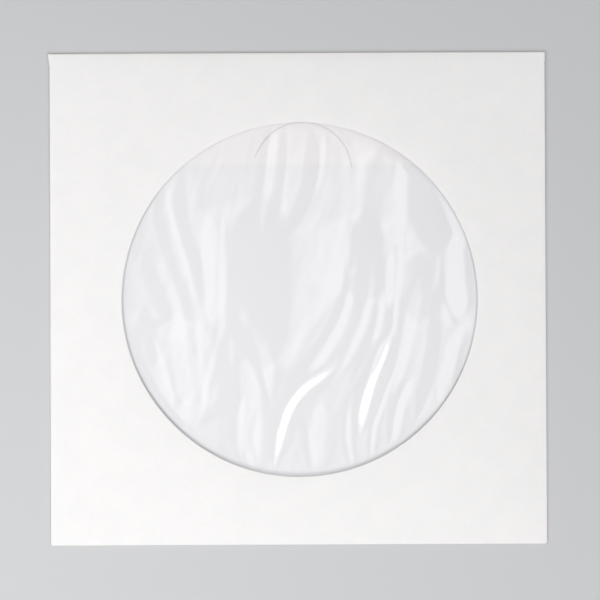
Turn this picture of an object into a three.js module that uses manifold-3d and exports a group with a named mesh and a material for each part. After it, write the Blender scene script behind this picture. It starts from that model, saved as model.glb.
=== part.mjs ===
// A paper CD sleeve with a round window, lying window side up.
// One folded and glued sheet of paper, and a wrinkled patch of clear film behind the window.
// Millimetres. +X is right, +Y points to the fold of the closing flap, +Z is up.
import * as THREE from 'three';
import * as BufferGeometryUtils from 'three/addons/utils/BufferGeometryUtils.js';
import Module from 'manifold-3d';

const wasm = await Module();
wasm.setup();

// Outside size of the closed sleeve
const SLEEVE_WIDTH = 125;
const SLEEVE_HEIGHT = 124.6;

// Paper, the glue line in its side seams, and the air between the back and the closing flap
const PAPER = 0.1;
const SEAM_GLUE = 0.02;
const FLAP_AIR = 0.2;

// Folds: how far each bulges past the panel's last flat line
const SIDE_FOLD_REACH = 0.15;
const BOTTOM_FOLD_REACH = 0.2;
const TOP_FOLD_REACH = 0.4;

// Pocket: open height at its lower and upper edge, how much the front panel stands up from
// there in the middle, the shares by which it stands higher to the right and lower to the top,
// and how it rolls over to the folds, widest at the top fold
const POCKET_EDGE_HEIGHT = 0.25;
const POCKET_TOP_HEIGHT = 0.15;
const PANEL_LOFT = 0.9;
const LOFT_LEAN_X = 0.35;
const LOFT_LEAN_Y = -0.9;
const EDGE_ROLL = 0.12;
const EDGE_ROLL_WIDTH = 1.2;
const TOP_ROLL = 0.28;
const TOP_ROLL_WIDTH = 2.4;

// Window in the front panel: its place is measured from the sleeve's centre
const WINDOW_DIAMETER = 89.8;
const WINDOW_X = 0.4;
const WINDOW_Y = -0.35;
const RIM_DIP = 0.42;
const RIM_DIP_WIDTH = 3;

// Side seam flaps, folded in and glued to the inside of the back panel
const SEAM_WIDTH = 12;
const SEAM_TAPER = 4;
const SEAM_STOP = 3;

// Back panel: how far its free edges stay inside the sleeve's outline
const BACK_SIDE_INSET = 0.3;
const BACK_TOP_INSET = 2;

// Half-moon tuck slit in the back panel: its circle's centre is measured from the top fold
const SLIT_RADIUS = 12.4;
const SLIT_KERF = 0.08;
const SLIT_RIGHT_END = THREE.MathUtils.degToRad(4);
const SLIT_LEFT_END = THREE.MathUtils.degToRad(164);
const SLIT_X = 1.3;
const SLIT_DROP = 30.1;
const SLIT_CLEARANCE = 0.1;

// Closing flap, folded behind the back panel
const FLAP_DEPTH = 28.4;
const FLAP_TAPER = 3;
const FLAP_CORNER = 6;
const RAMP_CLEARANCE = 1;
const RAMP_LENGTH = 6;

// Small ears of paper past the outline, where the side folds stop below the top fold
const LEFT_EAR = 0.4;
const RIGHT_EAR = 0;
const EAR_NICK = 0.4;

// Clear square of film behind the window: it overlaps the panel around the window's rim
const FILM = 0.04;
const FILM_OVERLAP = 5;
const FILM_GAP = 0.08;
const FILM_BOND_WIDTH = 3;
const FILM_SAG = 0.25;
const FILM_SLACK_WIDTH = 3;
const WRINKLE_HEIGHT = 0.4;

// How finely the sheets are divided
const EDGE_STEP = 5;
const FOLD_STEPS = 4;
const CORNER_STEPS = 3;
const SEAM_COLUMNS = 1;
const FLAP_ROWS = 2;
const PANEL_RINGS = [0, 0.05, 0.14, 0.3, 0.6, 0.93, 1];
const FILM_COLUMNS = 46;
const FILM_ROWS = 20;
const FILM_BORDER_RINGS = [0.4, 1];

// Creases of the film. Points are shares of the window's radius from its centre, and so are
// widths; rises are shares of the wrinkle height. A crease climbs across its line, to the
// right of its direction when its rise is above zero, and eases back beyond its width.
const CREASES = [
  // Sunken plates, and the bright strips beside the left one
  { rise: -1.71, width: 0.253, path: [[-0.21, 0.61], [-0.21, 0.28], [-0.21, -0.07], [-0.23, -0.43]] },
  { rise: -1.31, width: 0.146, path: [[0.38, 0.52], [0.38, 0.3], [0.37, 0.13], [0.34, -0.05]] },
  {
    rise: -0.48, width: 0.096,
    path: [[0.36, 0.21], [0.3, 0.03], [0.17, -0.13], [0.02, -0.35], [-0.11, -0.59]],
  },
  { rise: -2.48, width: 0.236, path: [[0.8, 1.12], [0.78, 0.84], [0.77, 0.61], [0.76, 0.21]] },
  { rise: -0.77, width: 0.124, path: [[0.69, 0.28], [0.68, 0.08], [0.67, -0.15]] },
  { rise: -0.47, width: 0.135, path: [[0.5, 0.9], [0.44, 0.61], [0.41, 0.38]] },
  { rise: 0.42, width: 0.084, path: [[-0.52, 0.5], [-0.49, 0.16], [-0.49, -0.16]] },
  { rise: 0.42, width: 0.084, path: [[-0.57, -0.13], [-0.52, -0.37], [-0.5, -0.64]] },
  // Folds from the window's upper edge
  {
    rise: 0.34, width: 0.039,
    path: [[-0.13, 1.05], [-0.15, 0.84], [-0.17, 0.67], [-0.2, 0.51], [-0.22, 0.29]],
  },
  {
    rise: -0.46, width: 0.062,
    path: [[0.07, 1.02], [0.07, 0.77], [0.04, 0.61], [-0.01, 0.48], [-0.1, 0.32]],
  },
  // Left side
  {
    rise: -0.33, width: 0.051,
    path: [[-0.69, 0.92], [-0.67, 0.59], [-0.63, 0.36], [-0.57, 0.17], [-0.53, -0.13]],
  },
  {
    rise: -0.29, width: 0.045,
    path: [[-0.81, 0.75], [-0.8, 0.53], [-0.74, 0.28], [-0.66, 0.05], [-0.61, -0.15], [-0.56, -0.43]],
  },
  { rise: -0.34, width: 0.062, path: [[-0.88, 0.28], [-0.83, 0.12], [-0.77, -0.02], [-0.73, -0.14]] },
  { rise: -0.38, width: 0.051, path: [[-0.87, -0.02], [-0.85, -0.2], [-0.82, -0.4]] },
  { rise: 0.75, width: 0.079, path: [[-0.86, -0.17], [-0.8, -0.4], [-0.72, -0.64]] },
  { rise: 1.26, width: 0.18, path: [[-0.69, -0.07], [-0.66, -0.35], [-0.59, -0.73]] },
  // Fold that runs down from the left plate
  {
    rise: 0.46, width: 0.051,
    path: [[-0.37, 0.04], [-0.3, -0.13], [-0.22, -0.25], [-0.18, -0.38], [-0.16, -0.6]],
  },
  // Swept folds right of the middle, from the upper right to the lower left
  {
    rise: 0.39, width: 0.039,
    path: [[0.31, 0.29], [0.3, 0.05], [0.21, -0.19], [0.08, -0.38], [-0.05, -0.51]],
  },
  { rise: 0.29, width: 0.034, path: [[0.41, 0.35], [0.4, 0.05], [0.35, -0.17], [0.2, -0.46]] },
  { rise: 0.38, width: 0.051, path: [[0.68, 0.15], [0.63, -0.11], [0.58, -0.32], [0.51, -0.6]] },
  { rise: -0.48, width: 0.056, path: [[0.78, 0.14], [0.76, -0.17], [0.72, -0.4], [0.64, -0.71]] },
  // The two tight folds that glint, and the swells beside the larger
  {
    rise: 1.14, width: 0.042,
    path: [[0.52, -0.17], [0.46, -0.31], [0.4, -0.47], [0.36, -0.61], [0.33, -0.78]],
  },
  {
    rise: 1.15, width: 0.038,
    path: [[0.21, -0.38], [0.13, -0.43], [0.03, -0.5], [-0.05, -0.6], [-0.09, -0.7], [-0.12, -0.82], [-0.15, -0.96]],
  },
  { rise: 0.34, width: 0.067, path: [[0.12, -0.57], [0.1, -0.74], [0.08, -0.99]] },
  { rise: 0.48, width: 0.096, path: [[-0.28, -0.29], [-0.28, -0.57], [-0.26, -0.99]] },
  // Crumpled right edge, where the film was pressed against the rim
  { rise: 0.73, width: 0.073, path: [[0.9, 0.42], [0.88, 0.14], [0.91, -0.11]] },
  { rise: 0.62, width: 0.062, path: [[1, -0.13], [0.88, -0.24], [0.84, -0.39], [0.78, -0.64]] },
];

// A crease narrows over this share of its length at each end, by this power of its height
const CREASE_SAMPLES = 12;
const CREASE_END_SHARE = 0.25;
const CREASE_TAPER = 0.7;

// Across its line a crease is a flat facet up to its shoulders, and falls back to its reach
const CREASE_REACH = 2.2;
const FACET_SLOPE = 0.8;
const FACET_SHOULDER = 0.62;
const FACET_ROUNDING = 0.1;

// Heights of the layers' middles above the surface the sleeve lies on
const FLAP_Z = PAPER / 2;
const BACK_LOW_Z = PAPER / 2;
const BACK_HIGH_Z = FLAP_Z + PAPER + FLAP_AIR;
const SEAM_RISE = PAPER + SEAM_GLUE;
const PANEL_LOW_Z = BACK_LOW_Z + SEAM_RISE + PAPER + POCKET_EDGE_HEIGHT;
const PANEL_HIGH_Z = BACK_HIGH_Z + SEAM_RISE + PAPER + POCKET_TOP_HEIGHT;

// Where the panel's flat part meets its folds
const PANEL_X = SLEEVE_WIDTH / 2 - PAPER / 2 - SIDE_FOLD_REACH;
const PANEL_BOTTOM = -SLEEVE_HEIGHT / 2 + PAPER / 2 + BOTTOM_FOLD_REACH;
const PANEL_TOP = SLEEVE_HEIGHT / 2 - PAPER / 2 - TOP_FOLD_REACH;
const PANEL_MIDDLE = (PANEL_BOTTOM + PANEL_TOP) / 2;
const PANEL_HALF_HEIGHT = (PANEL_TOP - PANEL_BOTTOM) / 2;
const OUTLINE_X = SLEEVE_WIDTH / 2;

const WINDOW_RADIUS = WINDOW_DIAMETER / 2;
const FILM_HALF_SIZE = WINDOW_RADIUS + FILM_OVERLAP;
const SEAM_TOP = SLEEVE_HEIGHT / 2 - SEAM_STOP;
const BACK_X = SLEEVE_WIDTH / 2 - BACK_SIDE_INSET;
const BACK_TOP = SLEEVE_HEIGHT / 2 - BACK_TOP_INSET;
const FLAP_EDGE = SLEEVE_HEIGHT / 2 - FLAP_DEPTH;
const SLIT_Y = SLEEVE_HEIGHT / 2 - SLIT_DROP;

// The back panel climbs over the closing flap just below the flap's edge and the slit's ends
const RAMP_TOP = Math.min(FLAP_EDGE, SLIT_Y) - RAMP_CLEARANCE;
const RAMP_BOTTOM = RAMP_TOP - RAMP_LENGTH;

function lerp(a, b, share) {
  return a + (b - a) * share;
}

function fade(share) {
  const s = THREE.MathUtils.clamp(share, 0, 1);
  return s * s * (3 - 2 * s);
}

// Stations, with the stretches between them cut into steps no longer than step
function subdivide(stations, step) {
  const values = [stations[0]];
  for (let i = 1; i < stations.length; i += 1) {
    const count = Math.max(1, Math.ceil(Math.abs(stations[i] - stations[i - 1]) / step));
    for (let k = 1; k <= count; k += 1) {
      values.push(lerp(stations[i - 1], stations[i], k / count));
    }
  }
  return values;
}

// A thin sheet: points on its middle surface, and triangles with its outer side facing out
class Sheet {
  constructor() {
    this.points = [];
    this.triangles = [];
    this.known = new Map();
  }

  index(point) {
    const key = point.toArray().map((value) => value.toFixed(5)).join(' ');
    if (!this.known.has(key)) {
      this.known.set(key, this.points.length);
      this.points.push(point);
    }
    return this.known.get(key);
  }

  // Quads between rows of points; each next row lies to the right of the last one's direction
  addRows(rows) {
    const ids = rows.map((row) => row.map((point) => this.index(point)));
    for (let i = 0; i + 1 < ids.length; i += 1) {
      for (let j = 0; j + 1 < ids[i].length; j += 1) {
        this.triangles.push([ids[i][j], ids[i + 1][j], ids[i + 1][j + 1]]);
        this.triangles.push([ids[i][j], ids[i + 1][j + 1], ids[i][j + 1]]);
      }
    }
  }

  normals() {
    const sums = this.points.map(() => new THREE.Vector3());
    for (const ids of this.triangles) {
      const corners = ids.map((id) => this.points[id]);
      const face = new THREE.Vector3().subVectors(corners[1], corners[0]);
      face.cross(new THREE.Vector3().subVectors(corners[2], corners[0])).normalize();
      for (let k = 0; k < ids.length; k += 1) {
        const a = new THREE.Vector3().subVectors(corners[(k + 1) % 3], corners[k]);
        const b = new THREE.Vector3().subVectors(corners[(k + 2) % 3], corners[k]);
        sums[ids[k]].addScaledVector(face, a.angleTo(b));
      }
    }
    return sums.map((sum) => sum.normalize());
  }

  // The closed solid of this thickness around the middle surface
  solid(thickness) {
    const normals = this.normals();
    const count = this.points.length;
    const vertices = [];
    for (const side of [1, -1]) {
      this.points.forEach((point, id) => {
        const shifted = point.clone().addScaledVector(normals[id], side * thickness / 2);
        vertices.push(shifted.x, shifted.y, shifted.z);
      });
    }
    const edges = new Set();
    for (const [a, b, c] of this.triangles) {
      edges.add(`${a} ${b}`).add(`${b} ${c}`).add(`${c} ${a}`);
    }
    const faces = [];
    for (const [a, b, c] of this.triangles) {
      faces.push(a, b, c, a + count, c + count, b + count);
    }
    for (const edge of edges) {
      const [a, b] = edge.split(' ').map(Number);
      if (!edges.has(`${b} ${a}`)) {
        faces.push(b, a, a + count, b, a + count, b + count);
      }
    }
    const geometry = new THREE.BufferGeometry();
    geometry.setAttribute('position', new THREE.Float32BufferAttribute(vertices, 3));
    geometry.setIndex(faces);
    return geometry;
  }
}

// To a solid that can be cut, and back to a mesh
function toManifold(geometry) {
  const bare = geometry.clone();
  bare.deleteAttribute('normal');
  bare.deleteAttribute('uv');
  const merged = BufferGeometryUtils.mergeVertices(bare, 1e-5);
  return new wasm.Manifold(new wasm.Mesh({
    numProp: 3,
    vertProperties: new Float32Array(merged.attributes.position.array),
    triVerts: new Uint32Array(merged.index.array),
  }));
}

function toGeometry(manifold) {
  const mesh = manifold.getMesh();
  const geometry = new THREE.BufferGeometry();
  geometry.setAttribute('position', new THREE.Float32BufferAttribute(mesh.vertProperties, 3));
  geometry.setIndex(Array.from(mesh.triVerts));
  return geometry;
}

// Middle height of the back panel, which lies on the closing flap at its upper end
function backHeight(y) {
  const share = THREE.MathUtils.clamp((y - RAMP_BOTTOM) / RAMP_LENGTH, 0, 1);
  return lerp(BACK_LOW_Z, BACK_HIGH_Z, share);
}

function seamHeight(y) {
  return backHeight(y) + SEAM_RISE;
}

// Height of the front panel without the dip at its window's rim
function pillowHeight(x, y) {
  const across = Math.min(Math.abs(x) / PANEL_X, 1);
  const along = Math.min(Math.abs(y - PANEL_MIDDLE) / PANEL_HALF_HEIGHT, 1);
  const up = (y - PANEL_BOTTOM) / (PANEL_TOP - PANEL_BOTTOM);
  const edge = lerp(PANEL_LOW_Z, PANEL_HIGH_Z, up);
  const roll = [PANEL_X - Math.abs(x), y - PANEL_BOTTOM, PANEL_TOP - y]
    .map((distance) => 1 - Math.exp(-Math.max(distance, 0) / EDGE_ROLL_WIDTH))
    .reduce((product, factor) => product * factor, EDGE_ROLL);
  const lean = 1 + LOFT_LEAN_X * x / PANEL_X + LOFT_LEAN_Y * (y - PANEL_MIDDLE) / PANEL_HALF_HEIGHT;
  const topRoll = TOP_ROLL * up * (1 - Math.exp(-Math.max(PANEL_TOP - y, 0) / TOP_ROLL_WIDTH));
  return edge + roll + (topRoll + PANEL_LOFT * lean * (1 - along ** 4)) * (1 - across ** 4);
}

function rimDistance(x, y) {
  return Math.hypot(x - WINDOW_X, y - WINDOW_Y) - WINDOW_RADIUS;
}

function panelHeight(x, y) {
  return pillowHeight(x, y) - RIM_DIP * Math.exp(-Math.max(rimDistance(x, y), 0) / RIM_DIP_WIDTH);
}

function panelPoint(x, y) {
  return new THREE.Vector3(x, y, panelHeight(x, y));
}

// The front panel's outline, anticlockwise from its lower left corner, side by side.
// The paper turns the folds at these lines, and is free at the short corner stretches.
function bottomRun() {
  return subdivide([-BACK_X, BACK_X], EDGE_STEP).map((x) => [x, PANEL_BOTTOM]);
}

function sideRun(side) {
  const stations = [
    PANEL_BOTTOM, PANEL_BOTTOM + 2 * SEAM_TAPER, RAMP_BOTTOM, RAMP_TOP, SEAM_TOP - 2 * SEAM_TAPER, SEAM_TOP,
  ];
  return subdivide(stations, EDGE_STEP).map((y) => [side * PANEL_X, y]);
}

// Half of the top line: the flap's rounded corner needs close points, the rest even steps
function topStations(halfWidth) {
  const straight = flapEdgeX(halfWidth) - FLAP_CORNER;
  const corner = [];
  for (let k = 0; k < CORNER_STEPS; k += 1) {
    const angle = (k / CORNER_STEPS) * Math.PI / 2;
    const edgeX = straight + FLAP_CORNER * Math.cos(angle);
    corner.push(edgeX * halfWidth / flapEdgeX(halfWidth));
  }
  const inner = subdivide([straight * halfWidth / flapEdgeX(halfWidth), 0], EDGE_STEP);
  return [...corner, ...inner];
}

function flapEdgeX(halfWidth) {
  return halfWidth - FLAP_TAPER;
}

const LEFT_TIP = OUTLINE_X + LEFT_EAR;
const RIGHT_TIP = OUTLINE_X + RIGHT_EAR;

function topRun() {
  const right = topStations(RIGHT_TIP).map((x) => [x, PANEL_TOP]);
  const left = topStations(LEFT_TIP).map((x) => [-x, PANEL_TOP]);
  return [...right, ...left.reverse().slice(1)];
}

function cornerNick(side) {
  return [side * OUTLINE_X, SEAM_TOP + EAR_NICK];
}

// A half turn of the sheet, from the panel's outline down to the layer below
function foldRows(run, direction, reach, lowHeight) {
  const rows = [];
  for (let k = 1; k <= FOLD_STEPS; k += 1) {
    const angle = Math.PI * k / FOLD_STEPS;
    rows.push(run.map(([x, y]) => {
      const high = panelHeight(x, y);
      const low = lowHeight(y);
      const out = reach * Math.sin(angle);
      const z = (high + low) / 2 + (high - low) / 2 * Math.cos(angle);
      return new THREE.Vector3(x + direction[0] * out, y + direction[1] * out, z);
    }));
  }
  return rows;
}

// Side seam flap: its ends taper towards its inner edge
function seamRows(run, side) {
  const rows = [];
  for (let k = 1; k <= SEAM_COLUMNS; k += 1) {
    const share = k / SEAM_COLUMNS;
    rows.push(run.map(([, y]) => {
      const fromBottom = Math.max(1 - (y - PANEL_BOTTOM) / (2 * SEAM_TAPER), 0);
      const fromTop = Math.max(1 - (SEAM_TOP - y) / (2 * SEAM_TAPER), 0);
      const tapered = y + share * SEAM_TAPER * (fromBottom - fromTop);
      return new THREE.Vector3(side * (PANEL_X - share * SEAM_WIDTH), tapered, seamHeight(y));
    }));
  }
  return rows;
}

function backRows(run) {
  const heights = [RAMP_BOTTOM, RAMP_TOP, BACK_TOP];
  return heights.map((y) => run.map(([x]) => new THREE.Vector3(x, y, backHeight(y))));
}

// Closing flap: it narrows towards its free edge, whose corners are rounded
function flapRows(run) {
  const rows = [];
  for (let k = 1; k <= FLAP_ROWS; k += 1) {
    const share = k / FLAP_ROWS;
    rows.push(run.map(([x]) => {
      const halfWidth = x < 0 ? LEFT_TIP : RIGHT_TIP;
      const edgeX = x * flapEdgeX(halfWidth) / halfWidth;
      const into = Math.max(Math.abs(edgeX) - (flapEdgeX(halfWidth) - FLAP_CORNER), 0);
      const corner = FLAP_CORNER - Math.sqrt(Math.max(FLAP_CORNER ** 2 - into ** 2, 0));
      const y = lerp(PANEL_TOP, FLAP_EDGE + corner, share);
      return new THREE.Vector3(lerp(x, edgeX, share), y, FLAP_Z);
    }));
  }
  return rows;
}

// Angles around the window's rim, spread as the points are spread along the outline
function rimAngles(outline) {
  const lengths = [0];
  for (let k = 1; k < outline.length; k += 1) {
    const step = Math.hypot(outline[k][0] - outline[k - 1][0], outline[k][1] - outline[k - 1][1]);
    lengths.push(lengths[k - 1] + step);
  }
  const first = Math.atan2(outline[0][1] - WINDOW_Y, outline[0][0] - WINDOW_X);
  const turn = 2 * Math.PI / lengths[lengths.length - 1];
  return lengths.map((length) => first + (length === lengths[lengths.length - 1] ? 0 : turn * length));
}

function foldedSheet() {
  const sheet = new Sheet();
  const bottom = bottomRun();
  const right = sideRun(1);
  const top = topRun();
  const left = sideRun(-1).reverse();
  const outline = [...bottom, ...right, cornerNick(1), ...top, cornerNick(-1), ...left];
  outline.push(outline[0]);

  const angles = rimAngles(outline);
  const rings = PANEL_RINGS.map((share) => outline.map(([x, y], k) => {
    const rimX = WINDOW_X + WINDOW_RADIUS * Math.cos(angles[k]);
    const rimY = WINDOW_Y + WINDOW_RADIUS * Math.sin(angles[k]);
    return panelPoint(lerp(rimX, x, share), lerp(rimY, y, share));
  }));
  sheet.addRows(rings);

  const start = (run) => run.map(([x, y]) => panelPoint(x, y));
  const backAtFold = () => BACK_LOW_Z;
  const flapAtFold = () => FLAP_Z;
  sheet.addRows([start(bottom), ...foldRows(bottom, [0, -1], BOTTOM_FOLD_REACH, backAtFold), ...backRows(bottom)]);
  sheet.addRows([start(right), ...foldRows(right, [1, 0], SIDE_FOLD_REACH, seamHeight), ...seamRows(right, 1)]);
  sheet.addRows([start(top), ...foldRows(top, [0, 1], TOP_FOLD_REACH, flapAtFold), ...flapRows(top)]);
  sheet.addRows([start(left), ...foldRows(left, [-1, 0], SIDE_FOLD_REACH, seamHeight), ...seamRows(left, -1)]);
  return sheet;
}

// The knife that cuts the half-moon slit: an upright half ring through the back panel alone
function slitKnife() {
  const outer = SLIT_RADIUS + SLIT_KERF / 2;
  const inner = SLIT_RADIUS - SLIT_KERF / 2;
  const shape = new THREE.Shape();
  shape.absarc(0, 0, outer, SLIT_RIGHT_END, SLIT_LEFT_END, false);
  shape.absarc(0, 0, inner, SLIT_LEFT_END, SLIT_RIGHT_END, true);
  shape.closePath();
  const low = FLAP_Z + PAPER / 2 + FLAP_AIR / 2;
  const high = BACK_HIGH_Z + PAPER / 2 + SLIT_CLEARANCE;
  const knife = new THREE.ExtrudeGeometry(shape, { depth: high - low, bevelEnabled: false, curveSegments: 24 });
  return knife.translate(SLIT_X, SLIT_Y, low);
}

function paperSleeve() {
  const solid = toManifold(foldedSheet().solid(PAPER)).subtract(toManifold(slitKnife()));
  const material = new THREE.MeshStandardMaterial({ color: 0xf6f4f0, roughness: 0.85, metalness: 0 });
  const mesh = new THREE.Mesh(toGeometry(solid), material);
  mesh.name = 'paper_sleeve';
  return mesh;
}

// A crease's smooth line, as points in the window's own units
const creaseLines = CREASES.map(({ rise, width, path }) => {
  const curve = new THREE.SplineCurve(path.map(([x, y]) => new THREE.Vector2(x, y)));
  return { rise, width, line: curve.getPoints(CREASE_SAMPLES) };
});

// Signed distance to a crease, positive on its right, and the share of its length there
function nearestOnLine(line, x, y) {
  let best = { distance: Infinity, share: 0 };
  for (let i = 0; i + 1 < line.length; i += 1) {
    const stepX = line[i + 1].x - line[i].x;
    const stepY = line[i + 1].y - line[i].y;
    const alongX = x - line[i].x;
    const alongY = y - line[i].y;
    const t = THREE.MathUtils.clamp((alongX * stepX + alongY * stepY) / (stepX ** 2 + stepY ** 2), 0, 1);
    const offX = alongX - t * stepX;
    const offY = alongY - t * stepY;
    const distance = Math.hypot(offX, offY);
    if (distance < Math.abs(best.distance)) {
      const side = offX * stepY - offY * stepX < 0 ? -1 : 1;
      best = { distance: side * distance, share: (i + t) / (line.length - 1) };
    }
  }
  return best;
}

// Height across a crease, at a distance from its line given as a share of its width
function facet(off) {
  const ease = 1 - fade(Math.abs(off) / CREASE_REACH);
  const climb = FACET_SLOPE * Math.abs(off);
  const fall = FACET_SHOULDER * ease;
  const level = FACET_SHOULDER - Math.hypot(FACET_SHOULDER, FACET_ROUNDING);
  const height = climb + fall - Math.hypot(climb - fall, FACET_ROUNDING) - level * ease;
  return Math.sign(off) * Math.max(height, 0) / 2;
}

// Height of the wrinkles at a point given as shares of the window's radius
function wrinkle(x, y) {
  let height = 0;
  for (const { rise, width, line } of creaseLines) {
    const { distance, share } = nearestOnLine(line, x, y);
    const ends = fade(share / CREASE_END_SHARE) * fade((1 - share) / CREASE_END_SHARE);
    if (ends > 0) {
      height += rise * ends * facet(distance / (width * ends ** CREASE_TAPER));
    }
  }
  return WRINKLE_HEIGHT * height;
}

// Middle height of the film: under the panel around the window, sagging and wrinkled inside it
function filmHeight(x, y) {
  const rim = rimDistance(x, y);
  const dip = RIM_DIP * Math.exp(-Math.max(rim - FILM_BOND_WIDTH, 0) / RIM_DIP_WIDTH);
  const bonded = pillowHeight(x, y) - dip - PAPER / 2 - FILM_GAP - FILM / 2;
  const sag = FILM_SAG * Math.max(1 - (rim / WINDOW_RADIUS + 1) ** 2, 0);
  const wrinkles = wrinkle((x - WINDOW_X) / WINDOW_RADIUS, (y - WINDOW_Y) / WINDOW_RADIUS);
  return bonded + fade(-rim / FILM_SLACK_WIDTH) * wrinkles - sag;
}

function filmPoint(x, y) {
  return new THREE.Vector3(x, y, filmHeight(x, y));
}

// The square of the film's rows and columns, drawn in to the window's circle
function discPoint(u, v) {
  const x = WINDOW_X + WINDOW_RADIUS * u * Math.sqrt(1 - v * v / 2);
  const y = WINDOW_Y + WINDOW_RADIUS * v * Math.sqrt(1 - u * u / 2);
  return filmPoint(x, y);
}

function windowFilm() {
  const sheet = new Sheet();
  const us = subdivide([-1, 1], 2 / FILM_COLUMNS);
  const vs = subdivide([-1, 1], 2 / FILM_ROWS);
  const reversedRows = [...vs].reverse();
  sheet.addRows(reversedRows.map((v) => us.map((u) => discPoint(u, v))));

  const loop = [
    ...us.map((u) => [u, -1]),
    ...vs.slice(1).map((v) => [1, v]),
    ...[...us].reverse().slice(1).map((u) => [u, 1]),
    ...reversedRows.slice(1).map((v) => [-1, v]),
  ];
  const border = FILM_BORDER_RINGS.map((share) => loop.map(([u, v]) => {
    const rim = discPoint(u, v);
    const x = lerp(rim.x, WINDOW_X + u * FILM_HALF_SIZE, share);
    const y = lerp(rim.y, WINDOW_Y + v * FILM_HALF_SIZE, share);
    return filmPoint(x, y);
  }));
  sheet.addRows([loop.map(([u, v]) => discPoint(u, v)), ...border]);

  const material = new THREE.MeshStandardMaterial({
    color: 0xe9edf1, roughness: 0.08, metalness: 0, transparent: true, opacity: 0.3, side: THREE.DoubleSide,
  });
  const mesh = new THREE.Mesh(sheet.solid(FILM), material);
  mesh.name = 'window_film';
  return mesh;
}

// The ear widens the outline on one side, so the whole is moved to stand on its own centre
const sleeve = new THREE.Group();
sleeve.name = 'cd_sleeve';
sleeve.position.x = (LEFT_EAR - RIGHT_EAR) / 2;
sleeve.add(paperSleeve(), windowFilm());

export default sleeve;
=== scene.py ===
"""A paper disc sleeve with a round film window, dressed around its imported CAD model."""

import math

import bpy
import numpy as np
from mathutils import Euler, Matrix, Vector
from mathutils.geometry import delaunay_2d_cdt


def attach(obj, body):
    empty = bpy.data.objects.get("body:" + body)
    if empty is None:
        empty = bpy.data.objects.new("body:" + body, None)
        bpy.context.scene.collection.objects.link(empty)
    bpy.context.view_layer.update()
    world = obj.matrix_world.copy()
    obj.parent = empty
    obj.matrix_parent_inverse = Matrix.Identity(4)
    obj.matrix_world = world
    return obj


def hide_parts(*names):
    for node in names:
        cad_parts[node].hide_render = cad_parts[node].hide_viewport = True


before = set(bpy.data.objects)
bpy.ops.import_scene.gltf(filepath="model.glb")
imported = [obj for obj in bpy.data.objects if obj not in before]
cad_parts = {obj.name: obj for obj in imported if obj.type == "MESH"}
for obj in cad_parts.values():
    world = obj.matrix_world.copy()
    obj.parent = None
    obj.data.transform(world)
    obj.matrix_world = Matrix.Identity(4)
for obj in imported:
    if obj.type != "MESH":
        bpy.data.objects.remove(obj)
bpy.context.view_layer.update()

MM = 0.001

# ---- Sizes of the sleeve, in millimetres, as in the CAD model ----

SLEEVE_WIDTH = 125.0
SLEEVE_HEIGHT = 124.6
PAPER = 0.1
SEAM_GLUE = 0.02
FLAP_AIR = 0.2
SIDE_FOLD_REACH = 0.15
BOTTOM_FOLD_REACH = 0.2
TOP_FOLD_REACH = 0.4
POCKET_EDGE_HEIGHT = 0.25
POCKET_TOP_HEIGHT = 0.15
PANEL_LOFT = 0.9
LOFT_LEAN_X = 0.35
LOFT_LEAN_Y = -0.9
TOP_ROLL = 0.28
TOP_ROLL_WIDTH = 2.4
EDGE_ROLL = 0.12
EDGE_ROLL_WIDTH = 1.2
WINDOW_RADIUS = 44.9
WINDOW_X = 0.4
WINDOW_Y = -0.35
RIM_DIP = 0.42
RIM_DIP_WIDTH = 3.0
SEAM_WIDTH = 12.0
SEAM_TAPER = 4.0
SEAM_STOP = 3.0
BACK_SIDE_INSET = 0.3
BACK_TOP_INSET = 2.0
SLIT_RADIUS = 12.4
SLIT_KERF = 0.08
SLIT_RIGHT_END = math.radians(4)
SLIT_LEFT_END = math.radians(164)
SLIT_X = 1.3
SLIT_DROP = 30.1
FLAP_DEPTH = 28.4
FLAP_TAPER = 3.0
FLAP_CORNER = 6.0
RAMP_CLEARANCE = 1.0
RAMP_LENGTH = 6.0
LEFT_EAR = 0.4
RIGHT_EAR = 0.0
EAR_NICK = 0.4
FILM = 0.04
FILM_OVERLAP = 5.0
FILM_GAP = 0.08
FILM_BOND_WIDTH = 3.0
FILM_SAG = 0.25
FILM_SLACK_WIDTH = 3.0
WRINKLE_HEIGHT = 0.4

FLAP_Z = PAPER / 2
BACK_LOW_Z = PAPER / 2
BACK_HIGH_Z = FLAP_Z + PAPER + FLAP_AIR
SEAM_RISE = PAPER + SEAM_GLUE
PANEL_LOW_Z = BACK_LOW_Z + SEAM_RISE + PAPER + POCKET_EDGE_HEIGHT
PANEL_HIGH_Z = BACK_HIGH_Z + SEAM_RISE + PAPER + POCKET_TOP_HEIGHT
PANEL_X = SLEEVE_WIDTH / 2 - PAPER / 2 - SIDE_FOLD_REACH
PANEL_BOTTOM = -SLEEVE_HEIGHT / 2 + PAPER / 2 + BOTTOM_FOLD_REACH
PANEL_TOP = SLEEVE_HEIGHT / 2 - PAPER / 2 - TOP_FOLD_REACH
PANEL_MIDDLE = (PANEL_BOTTOM + PANEL_TOP) / 2
PANEL_HALF_HEIGHT = (PANEL_TOP - PANEL_BOTTOM) / 2
OUTLINE_X = SLEEVE_WIDTH / 2
SEAM_TOP = SLEEVE_HEIGHT / 2 - SEAM_STOP
BACK_X = SLEEVE_WIDTH / 2 - BACK_SIDE_INSET
BACK_TOP = SLEEVE_HEIGHT / 2 - BACK_TOP_INSET
FLAP_EDGE = SLEEVE_HEIGHT / 2 - FLAP_DEPTH
SLIT_Y = SLEEVE_HEIGHT / 2 - SLIT_DROP
RAMP_TOP = min(FLAP_EDGE, SLIT_Y) - RAMP_CLEARANCE
RAMP_BOTTOM = RAMP_TOP - RAMP_LENGTH
LEFT_TIP = OUTLINE_X + LEFT_EAR
RIGHT_TIP = OUTLINE_X + RIGHT_EAR
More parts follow.
